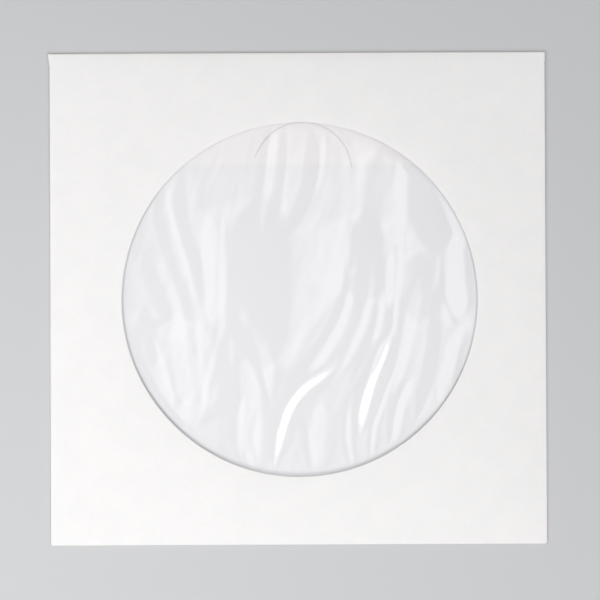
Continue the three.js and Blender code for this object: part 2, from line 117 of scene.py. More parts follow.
FILM_HALF_SIZE = WINDOW_RADIUS + FILM_OVERLAP
CENTRE_X = (LEFT_EAR - RIGHT_EAR) / 2

# ---- How finely the sheets are divided, and what only the dressed sleeve has ----
# Rings are shares of the way out from the window's rim.

PAPER_STEP = 1.6
BACK_STEP = 2.2
FOLD_STEPS = 10
CORNER_STEPS = 8
FLAP_ROWS = 8
PANEL_RINGS = [
    0, 0.012, 0.03, 0.055, 0.09, 0.13, 0.18, 0.24, 0.31, 0.39,
    0.48, 0.57, 0.66, 0.75, 0.83, 0.9, 0.95, 0.98, 1,
]
SLIT_SEGMENTS = 48
SLIT_MARGIN = 0.6
NET_TOLERANCE = 1e-7
SHARP_ANGLE = math.radians(50)
TONGUE_LIFT = 0.03
TONGUE_BEND = 1.5
PAPER_WAVE = 0.025
WAVE_EDGE_WIDTH = 12.0
WAVE_RIM_WIDTH = 6.0
FILM_CELLS = 212
FILM_BORDER_RINGS = [0.15, 0.5, 1.0]

# Creases of the film: rise, width and path. Points and widths are shares of the window's radius
# from its centre, rises are shares of the wrinkle height. A crease climbs across its line, to
# the right of its direction, so on a path that runs down the sleeve its slope faces right.
MAIN_CREASES = [
    # Sunken plates, and the bright strips beside the left one
    (-1.71, 0.253, [(-0.21, 0.61), (-0.21, 0.28), (-0.21, -0.07), (-0.23, -0.43)]),
    (-1.31, 0.146, [(0.38, 0.52), (0.38, 0.3), (0.37, 0.13), (0.34, -0.05)]),
    (-0.48, 0.096, [(0.36, 0.21), (0.3, 0.03), (0.17, -0.13), (0.02, -0.35), (-0.11, -0.59)]),
    (-2.48, 0.236, [(0.8, 1.12), (0.78, 0.84), (0.77, 0.61), (0.76, 0.21)]),
    (-0.77, 0.124, [(0.69, 0.28), (0.68, 0.08), (0.67, -0.15)]),
    (-0.47, 0.135, [(0.5, 0.9), (0.44, 0.61), (0.41, 0.38)]),
    (0.42, 0.084, [(-0.52, 0.5), (-0.49, 0.16), (-0.49, -0.16)]),
    (0.42, 0.084, [(-0.57, -0.13), (-0.52, -0.37), (-0.5, -0.64)]),
    # Folds from the window's upper edge
    (0.34, 0.039, [(-0.13, 1.05), (-0.15, 0.84), (-0.17, 0.67), (-0.2, 0.51), (-0.22, 0.29)]),
    (-0.46, 0.062, [(0.07, 1.02), (0.07, 0.77), (0.04, 0.61), (-0.01, 0.48), (-0.1, 0.32)]),
    # Left side
    (-0.33, 0.051, [(-0.69, 0.92), (-0.67, 0.59), (-0.63, 0.36), (-0.57, 0.17), (-0.53, -0.13)]),
    (-0.29, 0.045, [
        (-0.81, 0.75), (-0.8, 0.53), (-0.74, 0.28), (-0.66, 0.05), (-0.61, -0.15), (-0.56, -0.43),
    ]),
    (-0.34, 0.062, [(-0.88, 0.28), (-0.83, 0.12), (-0.77, -0.02), (-0.73, -0.14)]),
    (-0.38, 0.051, [(-0.87, -0.02), (-0.85, -0.2), (-0.82, -0.4)]),
    (0.75, 0.079, [(-0.86, -0.17), (-0.8, -0.4), (-0.72, -0.64)]),
    (1.26, 0.18, [(-0.69, -0.07), (-0.66, -0.35), (-0.59, -0.73)]),
    # Fold that runs down from the left plate
    (0.46, 0.051, [(-0.37, 0.04), (-0.3, -0.13), (-0.22, -0.25), (-0.18, -0.38), (-0.16, -0.6)]),
    # Swept folds right of the middle, from the upper right to the lower left
    (0.39, 0.039, [(0.31, 0.29), (0.3, 0.05), (0.21, -0.19), (0.08, -0.38), (-0.05, -0.51)]),
    (0.29, 0.034, [(0.41, 0.35), (0.4, 0.05), (0.35, -0.17), (0.2, -0.46)]),
    (0.38, 0.051, [(0.68, 0.15), (0.63, -0.11), (0.58, -0.32), (0.51, -0.6)]),
    (-0.48, 0.056, [(0.78, 0.14), (0.76, -0.17), (0.72, -0.4), (0.64, -0.71)]),
    # The two tight folds that glint, and the swells beside the larger
    (1.14, 0.042, [(0.52, -0.17), (0.46, -0.31), (0.4, -0.47), (0.36, -0.61), (0.33, -0.78)]),
    (1.15, 0.038, [
        (0.21, -0.38), (0.13, -0.43), (0.03, -0.5), (-0.05, -0.6),
        (-0.09, -0.7), (-0.12, -0.82), (-0.15, -0.96),
    ]),
    (0.34, 0.067, [(0.12, -0.57), (0.1, -0.74), (0.08, -0.99)]),
    (0.48, 0.096, [(-0.28, -0.29), (-0.28, -0.57), (-0.26, -0.99)]),
    # Crumpled right edge, where the film was pressed against the rim
    (0.73, 0.073, [(0.9, 0.42), (0.88, 0.14), (0.91, -0.11)]),
    (0.62, 0.062, [(1, -0.13), (0.88, -0.24), (0.84, -0.39), (0.78, -0.64)]),
]

# Thinner creases between the main ones, which the CAD model leaves out.
FINE_CREASES = [
    (-0.18, 0.025, [(-0.08, 1.05), (-0.09, 0.81), (-0.11, 0.61), (-0.14, 0.38)]),
    (0.13, 0.022, [(0.14, 0.95), (0.13, 0.75), (0.09, 0.59)]),
    (0.22, 0.039, [(0.57, 1.01), (0.57, 0.67), (0.57, 0.47), (0.54, 0.3)]),
    (0.13, 0.022, [(-0.75, 0.75), (-0.73, 0.53), (-0.68, 0.33), (-0.62, 0.14), (-0.58, -0.07)]),
    (0.18, 0.028, [
        (-0.43, 0.56), (-0.43, 0.28), (-0.43, -0.01), (-0.45, -0.23), (-0.52, -0.46), (-0.56, -0.73),
    ]),
    (-0.16, 0.022, [(-0.39, -0.08), (-0.34, -0.24), (-0.26, -0.34), (-0.22, -0.46), (-0.18, -0.58)]),
    (0.17, 0.028, [(-0.47, -0.3), (-0.4, -0.22), (-0.38, -0.43)]),
    (-0.15, 0.022, [(0.26, 0.25), (0.25, 0.04), (0.17, -0.15), (0.04, -0.33)]),
    (0.25, 0.028, [(0.47, 0.08), (0.45, -0.12), (0.4, -0.3), (0.29, -0.5)]),
    (0.42, 0.028, [(0.52, 0.28), (0.51, 0.11), (0.5, -0.06)]),
    (0.21, 0.025, [(0.58, 0.41), (0.55, 0.05), (0.52, -0.2), (0.43, -0.44)]),
    (-0.18, 0.022, [(0.53, 0.05), (0.5, -0.2), (0.44, -0.35), (0.35, -0.52), (0.28, -0.79)]),
    (-0.13, 0.02, [(0.52, -0.32), (0.44, -0.54), (0.4, -0.71), (0.39, -0.96)]),
    (0.2, 0.02, [(0.54, -0.38), (0.47, -0.58), (0.41, -0.75), (0.4, -0.96)]),
    (0.19, 0.022, [(0.3, -0.51), (0.27, -0.74), (0.3, -0.96)]),
    (0.29, 0.034, [(0.64, -0.44), (0.57, -0.6), (0.53, -0.82)]),
    (-0.15, 0.022, [(0.59, -0.43), (0.52, -0.6), (0.49, -0.84)]),
    (-0.15, 0.028, [(-0.01, -0.57), (0.02, -0.77), (0.07, -0.99)]),
    (-0.2, 0.022, [(0.81, 0.36), (0.8, 0.08), (0.84, -0.07), (0.89, -0.14), (1, -0.14)]),
    (-0.25, 0.028, [(0.95, -0.15), (0.9, -0.3), (0.87, -0.5)]),
    (-0.07, 0.034, [(0.26, 0.98), (0.3, 0.75), (0.3, 0.53), (0.25, 0.33)]),
    (-0.11, 0.022, [(-0.24, -0.6), (-0.28, -0.77), (-0.24, -0.94)]),
    (0.17, 0.028, [(-0.31, -0.54), (-0.34, -0.71), (-0.33, -0.91)]),
    (-0.36, 0.096, [(0.44, 0.84), (0.43, 0.61), (0.4, 0.38)]),
    (0.37, 0.073, [(-0.7, -0.12), (-0.67, -0.35), (-0.62, -0.63)]),
]

CREASE_SAMPLES = 24
CREASE_END_SHARE = 0.25
CREASE_TAPER = 0.7
CREASE_REACH = 2.2
FACET_SLOPE = 0.8
FACET_SHOULDER = 0.62
FACET_ROUNDING = 0.1

# ---- The camera, framed as the photograph is ----

FRAMED_WIDTH = 151.24
LENS = 1000.0
SENSOR = 36.0
CAMERA_TILT = math.radians(5.2)
CAMERA_TURN = math.radians(-0.25)
LOOK_AT = Vector((0.7, -0.47, 1.0))


def lerp(a, b, share):
    return a + (b - a) * share


def fade(share):
    s = np.clip(share, 0, 1)
    return s * s * (3 - 2 * s)


def subdivide(stations, step):
    """Stations, with the stretches between them cut into steps no longer than step."""
    values = [stations[0]]
    for start, end in zip(stations, stations[1:]):
        count = max(1, math.ceil(abs(end - start) / step))
        values.extend(lerp(start, end, k / count) for k in range(1, count + 1))
    return values


# ---- Heights of the layers above the surface the sleeve lies on ----


def back_height(y):
    """The back panel lies on the closing flap, and ramps down to the ground below the flap's edge."""
    return lerp(BACK_LOW_Z, BACK_HIGH_Z, np.clip((y - RAMP_BOTTOM) / RAMP_LENGTH, 0, 1))


def pillow_height(x, y):
    """The front panel without the dip at its window's rim."""
    across = np.minimum(np.abs(x) / PANEL_X, 1)
    along = np.minimum(np.abs(y - PANEL_MIDDLE) / PANEL_HALF_HEIGHT, 1)
    up = (y - PANEL_BOTTOM) / (PANEL_TOP - PANEL_BOTTOM)
    edge = lerp(PANEL_LOW_Z, PANEL_HIGH_Z, up)
    roll = EDGE_ROLL
    for distance in (PANEL_X - np.abs(x), y - PANEL_BOTTOM, PANEL_TOP - y):
        roll = roll * (1 - np.exp(-np.maximum(distance, 0) / EDGE_ROLL_WIDTH))
    lean = 1 + LOFT_LEAN_X * x / PANEL_X + LOFT_LEAN_Y * (y - PANEL_MIDDLE) / PANEL_HALF_HEIGHT
    top_roll = TOP_ROLL * up * (1 - np.exp(-np.maximum(PANEL_TOP - y, 0) / TOP_ROLL_WIDTH))
    return edge + roll + (top_roll + PANEL_LOFT * lean * (1 - along**4)) * (1 - across**4)


def rim_distance(x, y):
    """How far outside the window's rim a point is; negative within the window."""
    return np.hypot(x - WINDOW_X, y - WINDOW_Y) - WINDOW_RADIUS


def paper_wave(x, y):
    """The faint unevenness of a handled sheet, which dies out at its folds."""
    from_sides = fade((PANEL_X - np.abs(x)) / WAVE_EDGE_WIDTH)
    from_ends = fade((PANEL_HALF_HEIGHT - np.abs(y - PANEL_MIDDLE)) / WAVE_EDGE_WIDTH)
    inner = from_sides * from_ends
    wave = np.sin(x * 0.11 + 0.7 * np.sin(y * 0.05)) * np.cos(y * 0.083 + 1.1)
    return PAPER_WAVE * inner * (wave + 0.4 * np.sin(x * 0.21 - y * 0.17 + 2.0) - 0.6)


def panel_height(x, y):
    """The front panel, drawn down to the film round its window."""
    dip = RIM_DIP * np.exp(-np.maximum(rim_distance(x, y), 0) / RIM_DIP_WIDTH)
    away_from_rim = fade(rim_distance(x, y) / WAVE_RIM_WIDTH)
    return pillow_height(x, y) - dip + away_from_rim * paper_wave(x, y)


def crease_line(path):
    """Even samples of a smooth line through the path's points."""
    points = np.array(path, float)
    last = len(points) - 1
    samples = []
    for k in range(CREASE_SAMPLES + 1):
        place = last * k / CREASE_SAMPLES
        i = min(int(place), last)
        t = place - i
        p0, p1, p2, p3 = (points[min(max(j, 0), last)] for j in (i - 1, i, i + 1, i + 2))
        v0, v1 = (p2 - p0) / 2, (p3 - p1) / 2
        bend = (2 * p1 - 2 * p2 + v0 + v1) * t**3 + (3 * p2 - 3 * p1 - 2 * v0 - v1) * t**2
        samples.append(bend + v0 * t + p1)
    return np.array(samples)


def nearest_on_line(line, x, y):
    """Signed distance to a line, positive on its right, and the share of its length there."""
    best = np.full(x.shape, np.inf)
    share = np.zeros(x.shape)
    for i in range(len(line) - 1):
        step = line[i + 1] - line[i]
        along_x, along_y = x - line[i][0], y - line[i][1]
        t = np.clip((along_x * step[0] + along_y * step[1]) / (step @ step), 0, 1)
        off_x, off_y = along_x - t * step[0], along_y - t * step[1]
        distance = np.hypot(off_x, off_y)
        side = np.where(off_x * step[1] - off_y * step[0] < 0, -1.0, 1.0)
        nearer = distance < np.abs(best)
        best = np.where(nearer, side * distance, best)
        share = np.where(nearer, (i + t) / (len(line) - 1), share)
    return best, share


def facet(off):
    """Height across a crease: a flat facet through its line, then an easy fall beyond each shoulder."""
    ease = 1 - fade(np.abs(off) / CREASE_REACH)
    climb, fall = FACET_SLOPE * np.abs(off), FACET_SHOULDER * ease
    level = FACET_SHOULDER - math.hypot(FACET_SHOULDER, FACET_ROUNDING)
    height = climb + fall - np.hypot(climb - fall, FACET_ROUNDING) - level * ease
    return np.sign(off) * np.maximum(height, 0) / 2


def wrinkle(x, y, creases):
    """Height of the wrinkles at points given as shares of the window's radius."""
    height = np.zeros(x.shape)
    for rise, width, path in creases:
        distance, share = nearest_on_line(crease_line(path), x, y)
        ends = fade(share / CREASE_END_SHARE) * fade((1 - share) / CREASE_END_SHARE)
        off = distance / (width * np.maximum(ends, 1e-6) ** CREASE_TAPER)
        height += rise * ends * facet(off)
    return WRINKLE_HEIGHT * height


def film_slack(x, y):
    """0 where the film is glued behind the panel, 1 where it hangs free in the window."""
    return fade(-rim_distance(x, y) / FILM_SLACK_WIDTH)


def film_height(x, y):
    """The film follows the panel that it is glued to, and is wrinkled and sags within the window."""
    rim = rim_distance(x, y)
    dip = RIM_DIP * np.exp(-np.maximum(rim - FILM_BOND_WIDTH, 0) / RIM_DIP_WIDTH)
    bonded = pillow_height(x, y) - dip - PAPER / 2 - FILM_GAP - FILM / 2
    u, v = (x - WINDOW_X) / WINDOW_RADIUS, (y - WINDOW_Y) / WINDOW_RADIUS
    wrinkles = wrinkle(u, v, MAIN_CREASES + FINE_CREASES)
    sag = FILM_SAG * np.maximum(1 - (rim / WINDOW_RADIUS + 1) ** 2, 0)
    return bonded + film_slack(x, y) * wrinkles - sag


# ---- Sheets ----


class Sheet:
    """A thin sheet: points on its middle surface, and faces with its outer side facing out."""

    def __init__(self):
        self.points = []
        self.faces = []
        self.known = {}

    def index(self, point):
        """The number of a point; the sheet's parts share the points where they meet."""
        key = tuple(round(float(value), 4) for value in point)
        if key not in self.known:
            self.known[key] = len(self.points)
            self.points.append([float(value) for value in point])
        return self.known[key]

    def add_rows(self, rows):
        """Quads between rows; each next row lies to the right of the last one's direction."""
        ids = [[self.index(point) for point in row] for row in rows]
        for near, far in zip(ids, ids[1:]):
            for j in range(len(near) - 1):
                self.faces.append((near[j], far[j], far[j + 1], near[j + 1]))

    def add_faces(self, points, faces):
        ids = [self.index(point) for point in points]
        self.faces.extend(tuple(ids[k] for k in face) for face in faces)

    def normals(self):
        """The direction out of the sheet at each point, averaged over the faces round it."""
        points = np.array(self.points)
        sums = np.zeros_like(points)
        for size in (3, 4):
            faces = np.array([face for face in self.faces if len(face) == size], int).reshape(-1, size)
            if size == 3:
                across = points[faces[:, 1]] - points[faces[:, 0]]
                other = points[faces[:, 2]] - points[faces[:, 0]]
            else:
                across = points[faces[:, 2]] - points[faces[:, 0]]
                other = points[faces[:, 3]] - points[faces[:, 1]]
            normal = np.cross(across, other)
            for k in range(size):
                np.add.at(sums, faces[:, k], normal)
        return sums / np.linalg.norm(sums, axis=1, keepdims=True)

    def solid(self, thickness):
        """Points and faces of the closed sheet. The faces of its cut edges come last."""
        points, normals = np.array(self.points), self.normals()
        count = len(points)
        both = np.concatenate([points + normals * thickness / 2, points - normals * thickness / 2])
        faces = list(self.faces)
        faces += [tuple(k + count for k in reversed(face)) for face in self.faces]
        edges = {(a, b) for face in self.faces for a, b in zip(face, face[1:] + face[:1])}
        free = sorted((a, b) for a, b in edges if (b, a) not in edges)
        walls = [(b, a, a + count, b + count) for a, b in free]
        return both, faces, walls


def mesh_object(name, points, faces):
    """A piece made of points in millimetres, with its widest outline centred on the origin."""
    mesh = bpy.data.meshes.new(name)
    placed = (np.array(points) + np.array([CENTRE_X, 0, 0])) * MM
    mesh.from_pydata(placed.tolist(), [], faces)
    mesh.polygons.foreach_set("use_smooth", [True] * len(mesh.polygons))
    mesh.update()
    piece = bpy.data.objects.new(name, mesh)
    bpy.context.scene.collection.objects.link(piece)
    return piece


# ---- The folded paper ----


def flap_edge_x(half_width):
    """Half the width of the closing flap at its free edge."""
    return half_width - FLAP_TAPER


def top_stations(half_width):
    """Half of the top line: close points for the flap's rounded corner, even steps inside."""
    edge = flap_edge_x(half_width)
    straight = edge - FLAP_CORNER
    angles = [k / CORNER_STEPS * math.pi / 2 for k in range(CORNER_STEPS)]
    corner = [(straight + FLAP_CORNER * math.cos(angle)) * half_width / edge for angle in angles]
    return corner + subdivide([straight * half_width / edge, 0], PAPER_STEP)


def bottom_run():
    return [(x, PANEL_BOTTOM) for x in subdivide([-BACK_X, BACK_X], PAPER_STEP)]


def side_run(side):
    """The fold at one side. Its points fall on the corners of the seam flap and of the ramp."""
    low_end, high_end = PANEL_BOTTOM + 2 * SEAM_TAPER, SEAM_TOP - 2 * SEAM_TAPER
    stations = [PANEL_BOTTOM, low_end, RAMP_BOTTOM, RAMP_TOP, high_end, SEAM_TOP]
    return [(side * PANEL_X, y) for y in subdivide(stations, PAPER_STEP)]


def top_run():
    right = [(x, PANEL_TOP) for x in top_stations(RIGHT_TIP)]
    left = [(-x, PANEL_TOP) for x in top_stations(LEFT_TIP)]
    return right + left[::-1][1:]


def panel_points(run):
    return [(x, y, float(panel_height(np.float64(x), np.float64(y)))) for x, y in run]


def fold_rows(run, direction, reach, low_height):
    """A half turn of the sheet, from the panel's outline down to the layer below."""
    high = [point[2] for point in panel_points(run)]
    rows = []
    for k in range(1, FOLD_STEPS + 1):
        angle = math.pi * k / FOLD_STEPS
        out = reach * math.sin(angle)
        row = []
        for (x, y), top in zip(run, high):
            low = float(low_height(y))
            z = (top + low) / 2 + (top - low) / 2 * math.cos(angle)
            row.append((x + direction[0] * out, y + direction[1] * out, z))
        rows.append(row)
    return rows


def seam_row(run, side):
    """The free edge of a seam flap, which tapers at both ends."""
    row = []
    for _, y in run:
        from_bottom = max(1 - (y - PANEL_BOTTOM) / (2 * SEAM_TAPER), 0)
        from_top = max(1 - (SEAM_TOP - y) / (2 * SEAM_TAPER), 0)
        tapered = y + SEAM_TAPER * (from_bottom - from_top)
        row.append((side * (PANEL_X - SEAM_WIDTH), tapered, float(back_height(y)) + SEAM_RISE))
    return row


def flap_rows(run):
    """The closing flap narrows to its free edge, whose corners are rounded."""
    rows = []
    for k in range(1, FLAP_ROWS + 1):
        share = k / FLAP_ROWS
        row = []
        for x, _ in run:
            half_width = LEFT_TIP if x < 0 else RIGHT_TIP
            edge = flap_edge_x(half_width)
            edge_x = x * edge / half_width
            into = max(abs(edge_x) - (edge - FLAP_CORNER), 0)
            corner = FLAP_CORNER - math.sqrt(max(FLAP_CORNER**2 - into**2, 0))
            row.append((lerp(x, edge_x, share), lerp(PANEL_TOP, FLAP_EDGE + corner, share), FLAP_Z))
        rows.append(row)
    return rows


def slit_outline():
    """The narrow half ring that the knife opened in the back panel, anticlockwise."""
    angles = [lerp(SLIT_RIGHT_END, SLIT_LEFT_END, k / SLIT_SEGMENTS) for k in range(SLIT_SEGMENTS + 1)]
    outer, inner = SLIT_RADIUS + SLIT_KERF / 2, SLIT_RADIUS - SLIT_KERF / 2
    ring = [(SLIT_X + outer * math.cos(a), SLIT_Y + outer * math.sin(a)) for a in angles]
    return ring + [(SLIT_X + inner * math.cos(a), SLIT_Y + inner * math.sin(a)) for a in reversed(angles)]


def back_panel_point(x, y):
    """The tongue inside the half-moon slit stands up a little from the panel."""
    inside = math.hypot(x - SLIT_X, y - SLIT_Y) < SLIT_RADIUS and y > SLIT_Y
    lift = TONGUE_LIFT * ((y - SLIT_Y) / SLIT_RADIUS) ** TONGUE_BEND if inside else 0
    return (x, y, float(back_height(y)) + lift)


def add_back_panel(sheet, run):
    """A triangle net over the back panel, which leaves the slit open."""
    columns = [x for x, _ in run]
    sides = subdivide([PANEL_BOTTOM, RAMP_BOTTOM, RAMP_TOP, BACK_TOP], BACK_STEP)
    right = [(BACK_X, y) for y in sides[1:-1]]
    top = [(x, BACK_TOP) for x in reversed(columns)]
    left = [(-BACK_X, y) for y in reversed(sides[1:-1])]
    outline = [*run, *right, *top, *left]
    slit = slit_outline()
    inner = []
    for y in sides[1:-1]:
        for x in subdivide([-BACK_X, BACK_X], BACK_STEP)[1:-1]:
            if abs(math.hypot(x - SLIT_X, y - SLIT_Y) - SLIT_RADIUS) > SLIT_MARGIN:
                inner.append((x, y))
    points = outline + slit + inner
    loop = [(k, (k + 1) % len(outline)) for k in range(len(outline))]
    base = len(outline)
    loop += [(base + k, base + (k + 1) % len(slit)) for k in range(len(slit))]
    made, _, faces, *_ = delaunay_2d_cdt([Vector(p) for p in points], loop, [], 0, NET_TOLERANCE)
    kept = []
    for face in faces:
        centre = sum((made[k] for k in face), Vector((0, 0))) / len(face)
        reach = math.hypot(centre.x - SLIT_X, centre.y - SLIT_Y)
        angle = math.atan2(centre.y - SLIT_Y, centre.x - SLIT_X)
        cut = SLIT_RIGHT_END < angle < SLIT_LEFT_END and abs(reach - SLIT_RADIUS) < SLIT_KERF / 2
        inside = abs(centre.x) < BACK_X and PANEL_BOTTOM < centre.y < BACK_TOP
        if inside and not cut:
            kept.append(tuple(reversed(face)))
    sheet.add_faces([back_panel_point(p.x, p.y) for p in made], kept)


def rim_angles(outline):
    """Angles round the window's rim, spread as the points are spread along the outline."""
    steps = np.hypot(*np.diff(np.array(outline), axis=0).T)
    lengths = np.concatenate([[0], np.cumsum(steps)])
    first = math.atan2(outline[0][1] - WINDOW_Y, outline[0][0] - WINDOW_X)
    angles = first + 2 * math.pi * lengths / lengths[-1]
    angles[-1] = first
    return angles


def folded_paper():
    """The whole blank: front panel, bottom fold and back panel, seam flaps, top fold and closing flap."""
    sheet = Sheet()
    bottom, right, top = bottom_run(), side_run(1), top_run()
    left = side_run(-1)[::-1]
    nick = SEAM_TOP + EAR_NICK
    outline = bottom + right + [(OUTLINE_X, nick)] + top + [(-OUTLINE_X, nick)] + left
    outline.append(outline[0])
    angles = rim_angles(outline)
    ends = np.array(outline)
    rim_x = WINDOW_X + WINDOW_RADIUS * np.cos(angles)
    rim_y = WINDOW_Y + WINDOW_RADIUS * np.sin(angles)
    rim = np.stack([rim_x, rim_y], axis=1)
    rings = []
    for share in PANEL_RINGS:
        flat = lerp(rim, ends, share)
        rings.append(np.column_stack([flat, panel_height(flat[:, 0], flat[:, 1])]))
    sheet.add_rows(rings)

    bottom_fold = fold_rows(bottom, (0, -1), BOTTOM_FOLD_REACH, lambda y: BACK_LOW_Z)
    sheet.add_rows([panel_points(bottom), *bottom_fold])
    add_back_panel(sheet, bottom)
    for run, side in ((right, 1), (left, -1)):
        side_fold = fold_rows(run, (side, 0), SIDE_FOLD_REACH, lambda y: back_height(y) + SEAM_RISE)
        sheet.add_rows([panel_points(run), *side_fold, seam_row(run, side)])
    top_fold = fold_rows(top, (0, 1), TOP_FOLD_REACH, lambda y: FLAP_Z)
    sheet.add_rows([panel_points(top), *top_fold, *flap_rows(top)])

    points, faces, walls = sheet.solid(PAPER)
    piece = mesh_object("folded_paper", points, faces + walls)
    materials = np.zeros(len(faces) + len(walls), int)
    materials[len(faces):] = 1
    piece.data.materials.append(white_paper())
    piece.data.materials.append(cut_paper_edge())
    piece.data.polygons.foreach_set("material_index", materials)
    piece.data.set_sharp_from_angle(angle=SHARP_ANGLE)
    return piece


# ---- The window film ----


def disc_points(u, v):
    """The square of the film's rows and columns, drawn in to the window's circle."""
    x = WINDOW_X + WINDOW_RADIUS * u * np.sqrt(1 - v * v / 2)
    y = WINDOW_Y + WINDOW_RADIUS * v * np.sqrt(1 - u * u / 2)
    return x, y


def film_points(x, y):
    return np.stack([x, y, film_height(x, y)], axis=-1)


def film_middle():
    """The film's middle surface with its creases: a net over the window, and rings round it."""
    sheet = Sheet()
    steps = np.linspace(-1, 1, FILM_CELLS + 1)
    u, v = np.meshgrid(steps, steps[::-1])
    sheet.add_rows(film_points(*disc_points(u, v)))
    loop = [(s, -1.0) for s in steps] + [(1.0, s) for s in steps[1:]]
    loop += [(s, 1.0) for s in steps[::-1][1:]] + [(-1.0, s) for s in steps[::-1][1:]]
    u, v = np.array(loop).T
    rim_x, rim_y = disc_points(u, v)
    rows = [film_points(rim_x, rim_y)]
    for share in FILM_BORDER_RINGS:
        x = lerp(rim_x, WINDOW_X + u * FILM_HALF_SIZE, share)
        y = lerp(rim_y, WINDOW_Y + v * FILM_HALF_SIZE, share)
        rows.append(film_points(x, y))
    sheet.add_rows(rows)
    return sheet


# ---- Node trees ----


class Wire:
    """A node's output that takes part in arithmetic: each operation adds a Math node."""

    def __init__(self, bench, socket):
        self.bench = bench
        self.socket = socket

    def math(self, operation, *values):
        settings = {"operation": operation}
        return self.bench.node("ShaderNodeMath", settings, dict(enumerate(values)))[0]

    def __add__(self, other):
        return self.math("ADD", self, other)

    def __radd__(self, other):
        return self.math("ADD", other, self)

    def __sub__(self, other):
        return self.math("SUBTRACT", self, other)

    def __rsub__(self, other):
        return self.math("SUBTRACT", other, self)

    def __mul__(self, other):
        return self.math("MULTIPLY", self, other)

    def __rmul__(self, other):
        return self.math("MULTIPLY", other, self)

    def __pow__(self, other):
        return self.math("POWER", self, other)

    def over(self, low, high):
        """0 below low, 1 above high, and smooth between them. With high below low it falls."""
        settings = {"interpolation_type": "SMOOTHSTEP"}
        ends = {"Value": self, "From Min": low, "From Max": high}
        if high < low:
            ends.update({"From Min": high, "From Max": low, "To Min": 1.0, "To Max": 0.0})
        return self.bench.node("ShaderNodeMapRange", settings, ends)["Result"]


class Bench:
    """One node tree. A node's settings are set first, then the values or wires of its sockets."""

    def __init__(self, tree):
        self.tree = tree

    def node(self, kind, settings=None, sockets=None):
        node = self.tree.nodes.new(kind)
        for name, value in (settings or {}).items():
            setattr(node, name, value)
        for name, value in (sockets or {}).items():
            if isinstance(value, Wire):
                self.tree.links.new(value.socket, node.inputs[name])
            else:
                node.inputs[name].default_value = value
        return Outputs(self, node)

    def mixed_colour(self, share, first, second):
        """The colour first where share is 0, and second where it is 1."""
        first, second = ((*c, 1) if isinstance(c, tuple) else c for c in (first, second))
        return self.node("ShaderNodeMix", {"data_type": "RGBA"}, {0: share, 6: first, 7: second})[2]

    def noise(self, where, scale, detail, roughness=0.5):
        sockets = {"Vector": where, "Scale": scale, "Detail": detail, "Roughness": roughness}
        return self.node("ShaderNodeTexNoise", None, sockets)["Fac"]

    def relief(self, strength, depth, height):
        """The normal of a surface whose fine bumps are up to depth metres high."""
        sockets = {"Strength": strength, "Distance": depth, "Height": height}
        return self.node("ShaderNodeBump", None, sockets)["Normal"]

    def matte(self, colour, roughness, gloss, **others):
        """A rough opaque surface. Others are the values or wires of its other sockets, by name."""
        sockets = {"Base Color": colour, "Roughness": roughness, "Specular IOR Level": gloss, **others}
        return self.node("ShaderNodeBsdfPrincipled", None, sockets)["BSDF"]


class Outputs:
    """A new node's outputs, by name or number."""

    def __init__(self, bench, node):
        self.bench = bench
        self.node = node

    def __getitem__(self, name):
        return Wire(self.bench, self.node.outputs[name])


def finish_material(name):
    """A material with an empty tree, and the tree's bench."""
    material = bpy.data.materials.new(name)
    material.use_nodes = True
    material.node_tree.nodes.clear()
    return material, Bench(material.node_tree)


def show(bench, surface):
    bench.node("ShaderNodeOutputMaterial", None, {"Surface": surface})


# ---- Materials ----

BRIGHT_PAPER = (0.891, 0.88, 0.875)
DULL_PAPER = (0.871, 0.861, 0.857)
# Painted tones of the back panel: painted shade where it is a single layer, painted light where the
# closing flap lies behind it.
SINGLE_LAYER_PAINTED_SHADE = (0.88, 0.873, 0.876)
BACKED_PAINTED_LIGHT = (0.928, 0.908, 0.895)
CUT_PAPER = (0.86, 0.85, 0.835)
FILM_TINT = (0.991, 0.991, 0.9965)
DIM_FLOOR = (0.585, 0.59, 0.6)
PALE_FLOOR = (0.605, 0.61, 0.62)

# Paper below these heights, in millimetres, is the back panel. It carries painted light where the closing
# flap lies behind it, and painted shade beyond the flap's free edge, where the panel is a single layer.
PAINTED_BACK_START = 0.46
PAINTED_BACK_FULL = 0.42
PAINTED_BACK_SHARE = 0.85
FLAP_LINE_BLUR = 0.5

# Patterns in waves per metre, and heights of the finest relief in metres.
CLOUDS = 160.0
FLOCKS = 900.0
FIBRES = 5200.0
CUT_FIBRES = 9000.0
FILM_STRETCH = 70.0
FILM_SMEAR = 600.0
FLOOR_CLOUDS = 3.0
PAPER_RELIEF = 0.00002
FILM_RELIEF = 0.00001


def white_paper():
    """Uncoated white paper: faint clouds, fibres in its surface, and on the back panel painted shade over
    a single layer and painted light where the flap lies behind it.
    """
    material, bench = finish_material("white_paper")
    where = bench.node("ShaderNodeTexCoord")["Object"]
    place = bench.node("ShaderNodeSeparateXYZ", None, {"Vector": where})
    clouds = bench.noise(where, CLOUDS, 4.0, 0.6)
    flocks = bench.noise(where, FLOCKS, 3.0, 0.6)
    fibres = bench.noise(where, FIBRES, 3.0, 0.7)
    tone = (clouds * 0.65 + flocks * 0.35).over(0.36, 0.64)
    sheet_colour = bench.mixed_colour(tone, DULL_PAPER, BRIGHT_PAPER)
    # Painted shade on the back panel where it is a single layer, and painted light where the closing flap
    # backs it.
    below = place["Z"].over(PAINTED_BACK_START * MM, PAINTED_BACK_FULL * MM)
    single_layer_shade = place["Y"].over((FLAP_EDGE + FLAP_LINE_BLUR) * MM, (FLAP_EDGE - FLAP_LINE_BLUR) * MM)
    painted_back_light_and_shade = bench.mixed_colour(single_layer_shade, BACKED_PAINTED_LIGHT, SINGLE_LAYER_PAINTED_SHADE)
    colour = bench.mixed_colour(below * PAINTED_BACK_SHARE, sheet_colour, painted_back_light_and_shade)
    normal = bench.relief(0.5, PAPER_RELIEF, fibres + flocks * 1.5)
    show(bench, bench.matte(colour, 0.78 + fibres * 0.16, 0.35, Normal=normal))
    return material


